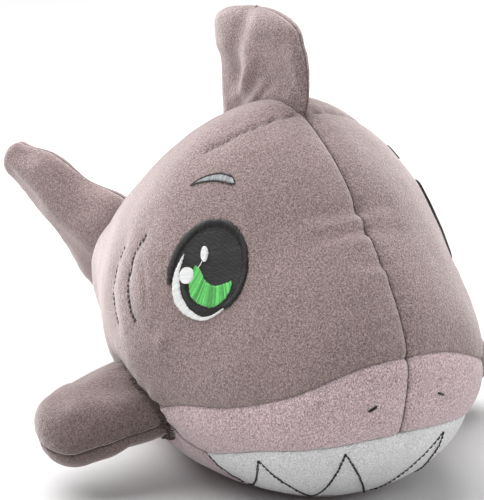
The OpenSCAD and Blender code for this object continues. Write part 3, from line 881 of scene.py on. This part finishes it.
def make_tail_fin():
    t = section_angles(60)
    last = len(TAIL_FIN) - 1
    foot = -np.cos(np.linspace(0.06, 1, 8) * math.pi / 2)[:-1]
    spread = np.concatenate([foot, np.linspace(0, last, 46)[:-1], last + round_end(12)])
    points = place_tail(np.array([
        fin_at(TAIL_FIN, TAIL_FIN_TIP, np.full(len(t), u), t, TAIL_FIN_FOOT) for u in spread]))
    points = inflate(points, 2)
    points, nap_and_shade = sew(points, 1, 0, 31)
    fin_pieces("tail_fin", points, nap_and_shade, [("left", ["tail_fin_left_panel", "tail_fin_fill"]),
                                          ("right", ["tail_fin_right_panel"])])


make_side_fins()
make_back_fin()
make_tail_fin()

# ---- Embroidery ----


def smooth_relief(c):
    """The cloth's height away from every seam."""
    return CROWN + uneven(on_body(c))


def frame_at(spot, side):
    """A drawing frame on the skin: chart point, and chart steps for 1 mm forward and 1 mm up."""
    c = chart(spot)
    n = normal_at(c)
    dp, dq = (step / (2 * CHART_STEP) for step in tangents(c))
    nose = np.cross(n, [0, 0, 1])
    nose /= np.linalg.norm(nose)
    rise = np.cross(nose, n)
    across = np.linalg.inv(np.array([[dp @ nose, dq @ nose], [dp @ rise, dq @ rise]]))
    return np.array([c, across[:, 0], across[:, 1]]) * [side, 1]


def drawn(where, p):
    p = np.asarray(p, float)
    return where[0] + p[..., :1] * where[1] + p[..., 1:] * where[2]


def eye_points(rows):
    rows = np.asarray(rows, float)
    return rows[:, :1] * EYE_ACROSS + rows[:, 1:] * EYE_UP


THREAD_PITCH = 0.55
THREAD_RISE = 0.22


def satin(where, left, right, lift, pitch=THREAD_PITCH, ragged=0.35, stitch=0, padding=0):
    """Threads laid side by side from one curve to another: points, faces and tones, with painted
    shade between the threads.
    """
    left, right = np.asarray(left, float), np.asarray(right, float)
    v = np.linspace(0, 1, 200)
    middle = (spline(left, v * (len(left) - 1)) + spline(right, v * (len(right) - 1))) / 2
    run = run_along(middle)
    count = max(3, round(run[-1] / pitch))
    profile = np.array([0.03, 0.25, 0.5, 0.75, 0.97])
    v = np.interp(((np.arange(count)[:, None] + profile) / count * run[-1]).ravel(), run, v)
    a = spline(left, v * (len(left) - 1))
    b = spline(right, v * (len(right) - 1))
    length = np.maximum(np.linalg.norm(b - a, axis=1), 0.4)
    columns = int(np.clip(length.max() / 0.9, 7, 36))
    reach = np.repeat(rng.uniform(-0.2, ragged, (count, 2)), len(profile), 0) / length[:, None]
    tone_and_shade = np.repeat(rng.uniform(0, 1, count), len(profile))[:, None]
    w = np.linspace(0, 1, columns)[None, :]
    w = -reach[:, :1] + w * (1 + reach.sum(1, keepdims=True))
    dome = np.tile(np.sqrt(1 - (2 * profile - 1) ** 2), count)[:, None]
    rise = lift + THREAD_RISE * dome + padding * np.sin(np.clip(w, 0, 1) * math.pi) ** 0.6
    if stitch:
        starts = np.repeat(rng.uniform(0, stitch, count), len(profile))[:, None]
        inside = ((w * length[:, None] + starts) % stitch) / stitch
        rise = rise - 0.16 * np.exp(-(np.minimum(inside, 1 - inside) * stitch / 0.3) ** 2)
    rise[:, [0, -1]] = -0.5
    c = drawn(where, a[:, None, :] + (b - a)[:, None, :] * w[..., None])
    points = on_body(c) + (smooth_relief(c) + rise)[..., None] * normal_at(c)
    # each thread is darker towards its edges: painted shade between the threads, over a random tone
    tone_and_shade = tone_and_shade + rng.uniform(-0.25, 0.25, points.shape[:2]) - 0.5 * (1 - dome)
    faces = grid_faces(len(v), columns)
    return points.reshape(-1, 3), faces if where[0][0] > 0 else faces[:, ::-1], tone_and_shade.ravel()


TUBE_SIDES = 6


def tube(centres, radii):
    """A closed thread along a few centres: points, faces and tones."""
    centres = np.asarray(centres, float)
    along = np.gradient(centres, axis=0)
    along /= np.maximum(np.linalg.norm(along, axis=1, keepdims=True), TINY)
    side = np.cross(along, [0.31, 0.17, 0.93])
    side /= np.linalg.norm(side, axis=1, keepdims=True)
    other = np.cross(along, side)
    a = section_angles(TUBE_SIDES)
    spokes = side[:, None] * np.cos(a)[:, None] + other[:, None] * np.sin(a)[:, None]
    rings = centres[:, None] + spokes * np.asarray(radii)[:, None, None]
    count = len(centres) * TUBE_SIDES
    faces = [tuple(f) for f in grid_faces(len(centres), TUBE_SIDES, True)]
    faces += [tuple(range(TUBE_SIDES))[::-1], tuple(range(count - TUBE_SIDES, count))]
    return rings.reshape(-1, 3), faces, np.full(count, rng.uniform(0, 1))


def joined(parts):
    """Threads put together: points, faces and tones, with the satin threads' painted shade."""
    faces, start = [], 0
    for points, near, _ in parts:
        faces += [tuple(int(k) + start for k in face) for face in near]
        start += len(points)
    points, _, tones_and_shade = zip(*parts)
    return np.vstack(points), faces, np.concatenate(tones_and_shade)


def trimming(name, parts, material, slot, *nodes):
    """A piece of embroidery or stitching on the body."""
    points, faces, tone_and_shade = joined(parts)
    piece = add_piece(name, points, faces, material, {"tone_and_shade": tone_and_shade})
    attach(piece, "torso")
    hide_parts(*nodes)


STITCH_LIFT = 0.25
STITCH_SUNK = -0.35
WANDER = 0.08


def run_stitches(charted, stitch, radius, strands=2, gap=0.1):
    """Short stitches of one or more strands along a line of chart points."""
    points = on_body(charted)
    run = run_along(points)
    count = max(1, round(run[-1] / stitch))
    parts = []
    for k in range(count):
        for strand in range(strands):
            f = (k + np.array([gap, 0.22, 0.5, 0.78, 1 - gap])) / count * run[-1]
            c = np.stack([np.interp(f, run, charted[:, i]) for i in (0, 1)], -1)
            height, _ = relief(c)
            n = normal_at(c)
            base = on_body(c)
            along = base[-1] - base[0]
            across = np.cross(n, along / max(np.linalg.norm(along), TINY))
            shift = (strand - (strands - 1) / 2) * radius * 1.5 + rng.normal(0, WANDER)
            arch = np.array([STITCH_SUNK, STITCH_LIFT, STITCH_LIFT + 0.2, STITCH_LIFT, STITCH_SUNK])
            rise = height + arch + rng.normal(0, WANDER)
            middle = base + rise[:, None] * n + across * shift
            parts.append(tube(rest_on_floor(middle), radius * np.array([0.7, 1, 1.05, 1, 0.7])))
    return parts


def polyline(rows, per_leg=14):
    """Straight stretches in the chart between corner points."""
    corners = chart(rows)
    return [corners[k] + (corners[k + 1] - corners[k]) * np.linspace(0, 1, per_leg)[:, None]
            for k in range(len(corners) - 1)]


def rim(centre, radii, side, first=8, last=172):
    """One side of an oval in the eye's own frame."""
    a = np.radians(np.linspace(first, last, 15))
    return eye_points(np.stack([centre[0] + side * radii[0] * np.sin(a),
                                centre[1] + radii[1] * np.cos(a)], -1))


# Eye shapes as parts of the eye's half width and half height, brow shapes in millimetres
WHITE_OUTER = [[-0.595, 0.373], [-0.72, 0.19], [-0.82, -0.04], [-0.87, -0.28], [-0.83, -0.55],
               [-0.7, -0.79], [-0.5, -0.95], [-0.27, -1.04], [-0.05, -1.06], [0.17, -1.01],
               [0.34, -0.93], [0.48, -0.84]]
WHITE_INNER = [[-0.58, 0.36], [-0.64, 0.16], [-0.68, -0.04], [-0.65, -0.28], [-0.6, -0.48],
               [-0.45, -0.72], [-0.27, -0.88], [-0.05, -0.97], [0.17, -0.95], [0.34, -0.89],
               [0.47, -0.82]]
LID_OUTER = [[-0.97, -0.28], [-0.99, 0.05], [-0.9, 0.4], [-0.7, 0.72], [-0.4, 0.93], [0, 1.02],
             [0.4, 0.93], [0.72, 0.7], [0.93, 0.36], [1, 0], [0.96, -0.35], [0.84, -0.6],
             [0.64, -0.79], [0.5, -0.85]]
LID_INNER = [[-0.87, -0.27], [-0.83, 0.02], [-0.74, 0.3], [-0.56, 0.56], [-0.31, 0.75], [0, 0.84],
             [0.34, 0.77], [0.61, 0.56], [0.8, 0.27], [0.86, -0.03], [0.81, -0.33], [0.7, -0.54],
             [0.54, -0.69], [0.42, -0.76]]
RING_OUTER = [[-0.68, -0.08], [-0.65, -0.28], [-0.59, -0.49], [-0.44, -0.72], [-0.27, -0.88],
              [-0.05, -0.97], [0.17, -0.95], [0.34, -0.89], [0.5, -0.81]]
RING_INNER = [[-0.5, -0.12], [-0.48, -0.38], [-0.39, -0.58], [-0.24, -0.72], [-0.06, -0.8],
              [0.12, -0.84], [0.3, -0.8], [0.42, -0.74], [0.5, -0.68]]
IRIS_UPPER = [[-0.32, 0.1], [-0.24, 0.09], [-0.15, -0.03], [-0.06, -0.18], [0.08, -0.29],
              [0.27, -0.335], [0.45, -0.325], [0.61, -0.31]]
IRIS_LOWER = [[-0.33, 0.08], [-0.44, -0.2], [-0.455, -0.42], [-0.36, -0.6], [-0.16, -0.74],
              [0.12, -0.82], [0.36, -0.75], [0.55, -0.58], [0.63, -0.38]]
BROW_UPPER = [[-11.8, -2.2], [-8, 1.2], [-4, 3.4], [0, 4.5], [4, 4.7], [8, 3.6], [10.2, 1.2]]
BROW_LOWER = [[-11.8, -2.6], [-8, -0.9], [-4, 0.2], [0, 0.8], [4, 0.7], [8, 0.4], [10, 0.6]]


def make_eye(name, side):
    where = frame_at(EYE_SPOTS[name], side)

    def patch(left, right, lift, **how):
        return satin(where, eye_points(left), eye_points(right), lift, **how)

    def disc(centre, radii, lift):
        return satin(where, rim(centre, radii, -1), rim(centre, radii, 1), lift, ragged=0.1,
                     padding=0.25)

    trimming(f"eye_{name}_black", [
        satin(where, *(rim([0, 0], [0.96, 0.97], side, 4, 176) for side in (-1, 1)), 0.15,
              stitch=3.6),
        patch(LID_OUTER, LID_INNER, 0.4, ragged=0.7, padding=0.45),
        patch(RING_OUTER, RING_INNER, 0.4, padding=0.35),
    ], BLACK_THREAD, "black_thread", f"eye_{name}_ground")
    trimming(f"eye_{name}_crescent",
             [patch(WHITE_OUTER, WHITE_INNER, 0.5, ragged=0.25, padding=0.3)],
             WHITE_THREAD, "white_thread", f"eye_{name}_white")
    trimming(f"eye_{name}_green", [patch(IRIS_UPPER, IRIS_LOWER, 0.55, ragged=0.3, stitch=3.2)],
             GREEN_THREAD, "green_thread", f"eye_{name}_iris")
    tail = drawn(where, eye_points([[-0.15, 0.17], [-0.19, 0.1], [-0.24, 0.05]]))
    trimming(f"eye_{name}_shine", [
        disc([-0.51, -0.09], [0.21, 0.175], 0.95), disc([-0.1, 0.315], [0.115, 0.16], 0.6),
        tube(on_body(tail) + (smooth_relief(tail) + 0.75)[:, None] * normal_at(tail),
             [0.18, 0.2, 0.15]),
    ], WHITE_THREAD, "white_thread", f"eye_{name}_highlights")


def make_brow(name, side):
    where = frame_at(BROW_SPOTS[name], side)
    trimming(f"brow_{name}_fill", [satin(where, BROW_LOWER, BROW_UPPER, 0.1, pitch=0.6)],
             SILVER_THREAD, "slate_thread", f"brow_{name}")
    trimming(f"brow_{name}_outline", [
        satin(where, np.add(edge, [0, above]), np.add(edge, [0, below]), 0.3, pitch=0.5,
              ragged=ragged)
        for edge, above, below, ragged in ((BROW_UPPER, 0.45, -0.5, 0.4),
                                           (BROW_LOWER, 0.25, -0.3, 0.3))
    ], DARK_THREAD, "slate_thread")


def make_gills(name, side):
    trimming(f"gill_threads_{name}",
             run_stitches(curve(GILL_FRONT, 40) * [side, 1], 2.5, 0.42, 3)
             + run_stitches(curve(GILL_REAR, 40) * [side, 1], 2.5, 0.36, 2),
             DARK_THREAD, "slate_thread", f"gill_stitches_{name}")


def make_face():
    for name, side in (("left", 1), ("right", -1)):
        make_eye(name, side)
        make_brow(name, side)
        make_gills(name, side)
    teeth = polyline(TEETH)
    teeth += [mirrored(leg) for leg in teeth]
    trimming("teeth_threads", [s for leg in teeth for s in run_stitches(leg, 2.5, 0.26, 2, 0.04)],
             BLACK_THREAD, "black_thread", "teeth_stitches")
    nostril = polyline(NOSTRIL)[0]
    trimming("nostril_threads",
             run_stitches(nostril, 9, 0.3) + run_stitches(mirrored(nostril), 9, 0.3),
             BLACK_THREAD, "black_thread", "nostril_stitches")


OVERCAST_TURNS = np.arange(40, 250, 5.5)


def make_root_stitches(name, side):
    """Overcast stitches round the front and underside of a side fin's root."""
    parts = []
    middle = chart(ROOT_SPOT)
    for turn in OVERCAST_TURNS:
        turn = turn + rng.uniform(-2, 2)
        lean = rng.uniform(2, 8)
        c = np.array([middle + (root_ring(np.array(turn + lean * f)) - middle) * s
                      for f, s in ((0, 1.1), (0.4, 1.04), (0.8, 0.98), (1.2, 0.93))])
        height = np.array([-1.2, 0.1, 0.3, 1.6]) + rng.normal(0, 0.15, 4)
        c = c * [side, 1]
        points = on_body(c) + height[:, None] * normal_at(c)
        parts.append(tube(rest_on_floor(points), [0.22, 0.36, 0.36, 0.25]))
    trimming(f"root_threads_{name}", parts, BROWN_THREAD, "slate_thread", f"root_stitches_{name}")


LABEL_SPOT = [7.6, 128]
LABEL_WIDTH = 18
LABEL_LENGTH = 26
LABEL_GAP = 0.5
LABEL_CURL = 2.4
LABEL_SUNK = 1.5
LABEL_TILT = 118
LABEL_TURN = 18


def make_label():
    """A blank folded tape, sewn in at the left rear."""
    out = turn(turn(np.array([0, 0, 1]), 1, LABEL_TILT), 2, LABEL_TURN)
    across = turn(np.array([0, 1, 0]), 2, LABEL_TURN)
    face = np.cross(out, across)
    base = cloth_point(chart(LABEL_SPOT)) - LABEL_SUNK * out
    s = np.linspace(0, 1, 16)
    curl = LABEL_CURL * s ** 2
    apart = LABEL_GAP * np.minimum(1, 4 * (1 - s) + 0.2)
    upper, lower = (np.stack([s * LABEL_LENGTH, curl + side * apart], -1) for side in (1, -1))
    bend = np.array([[LABEL_LENGTH + 0.5, curl[-1] + 0.05]])
    path = np.vstack([upper, bend, lower[::-1]])
    w = np.linspace(-LABEL_WIDTH / 2, LABEL_WIDTH / 2, 13)
    ripple = 0.35 * np.sin(w / 3)
    points = (base + path[:, None, :1] * out + (path[:, None, 1:] + ripple[:, None]) * face
              + w[:, None] * across)
    piece = add_piece("care_tape", points.reshape(-1, 3), grid_faces(len(path), len(w)), TAPE)
    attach(piece, "torso")
    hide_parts("care_label")


make_face()
make_root_stitches("left", 1)
make_root_stitches("right", -1)
trimming("closing_threads", run_stitches(curve(CLOSING_SEAM, 20), 3.2, 0.3, 1, 0.2),
         TAUPE_THREAD, "slate_thread", "closing_stitches")
make_label()

# ---- Camera, light and floor ----

LOOK = Vector((0, -MIDDLE_Y * MM, 0.085))
CAMERA_AZIMUTH = math.radians(-32)
CAMERA_ELEVATION = math.radians(17)
CAMERA_DISTANCE = 1.0
SENSOR = 36
LENS = 154.37
# slopes by which the view's middle lies to the left of and above the point LOOK
AIM_LEFT = 0.02379
AIM_ABOVE = 0.01632


def make_camera():
    """Places the camera; gives its right, its up and the direction from LOOK to it."""
    back = Vector((math.sin(CAMERA_AZIMUTH) * math.cos(CAMERA_ELEVATION),
                   -math.cos(CAMERA_AZIMUTH) * math.cos(CAMERA_ELEVATION),
                   math.sin(CAMERA_ELEVATION)))
    right = Vector((math.cos(CAMERA_AZIMUTH), math.sin(CAMERA_AZIMUTH), 0))
    up = back.cross(right)
    camera = bpy.data.objects.new("camera", bpy.data.cameras.new("camera"))
    bpy.context.scene.collection.objects.link(camera)
    camera.data.sensor_width = SENSOR
    camera.data.lens = LENS
    camera.location = LOOK + CAMERA_DISTANCE * back
    aim = -back - AIM_LEFT * right + AIM_ABOVE * up
    camera.rotation_mode = "QUATERNION"
    camera.rotation_quaternion = aim.to_track_quat("-Z", "Y")
    bpy.context.scene.camera = camera
    return right, back


def add_light(data, power, shines):
    """Puts a light in the scene, turned the way it shines."""
    data.energy = power
    light = bpy.data.objects.new(data.name, data)
    bpy.context.scene.collection.objects.link(light)
    light.rotation_mode = "QUATERNION"
    light.rotation_quaternion = shines.to_track_quat("-Z", "Y")
    return light


FLOOR_COLOUR = (0.62, 0.62, 0.62, 1)
FLOOR_HALF = 30000
WORLD_STRENGTH = 0.3
SUN_ANGLE = math.radians(75)
# Soft lights as (name, place to the right of, in front of and above LOOK in metres, size, watts)
AREA_LIGHTS = [
    ("rim", (-0.45, -0.75, 0.75), 0.8, 7.5),
    ("side", (1.1, -0.1, 0.25), 0.7, 5),
    ("fill", (-0.2, 1.2, 0.6), 1, 2.5),
]


def make_stage():
    right, back = make_camera()
    up = Vector((0, 0, 1))
    sun = bpy.data.lights.new("overhead", "SUN")
    sun.angle = SUN_ANGLE
    add_light(sun, 4.4, right * 0.32 + back * 0.3 - up)
    for name, (aside, before, above), size, power in AREA_LIGHTS:
        lamp = bpy.data.lights.new(name, "AREA")
        lamp.shape = "DISK"
        lamp.size = size
        place = right * aside + back * before + up * above
        add_light(lamp, power, -place).location = LOOK + place
    world = bpy.data.worlds.new("studio")
    world.use_nodes = True
    settle(world.node_tree.nodes["Background"], Color=(1, 1, 1, 1), Strength=WORLD_STRENGTH)
    bpy.context.scene.world = world
    bpy.context.scene.view_settings.view_transform = "Standard"
    material, _, _, shader = new_material("floor")
    settle(shader, Base_Color=FLOOR_COLOUR, Roughness=0.9, Specular_IOR_Level=0.1)
    corners = [[x * FLOOR_HALF, MIDDLE_Y + y * FLOOR_HALF, 0]
               for x, y in ((-1, -1), (1, -1), (1, 1), (-1, 1))]
    add_piece("floor", corners, [[0, 1, 2, 3]], material)


make_stage()
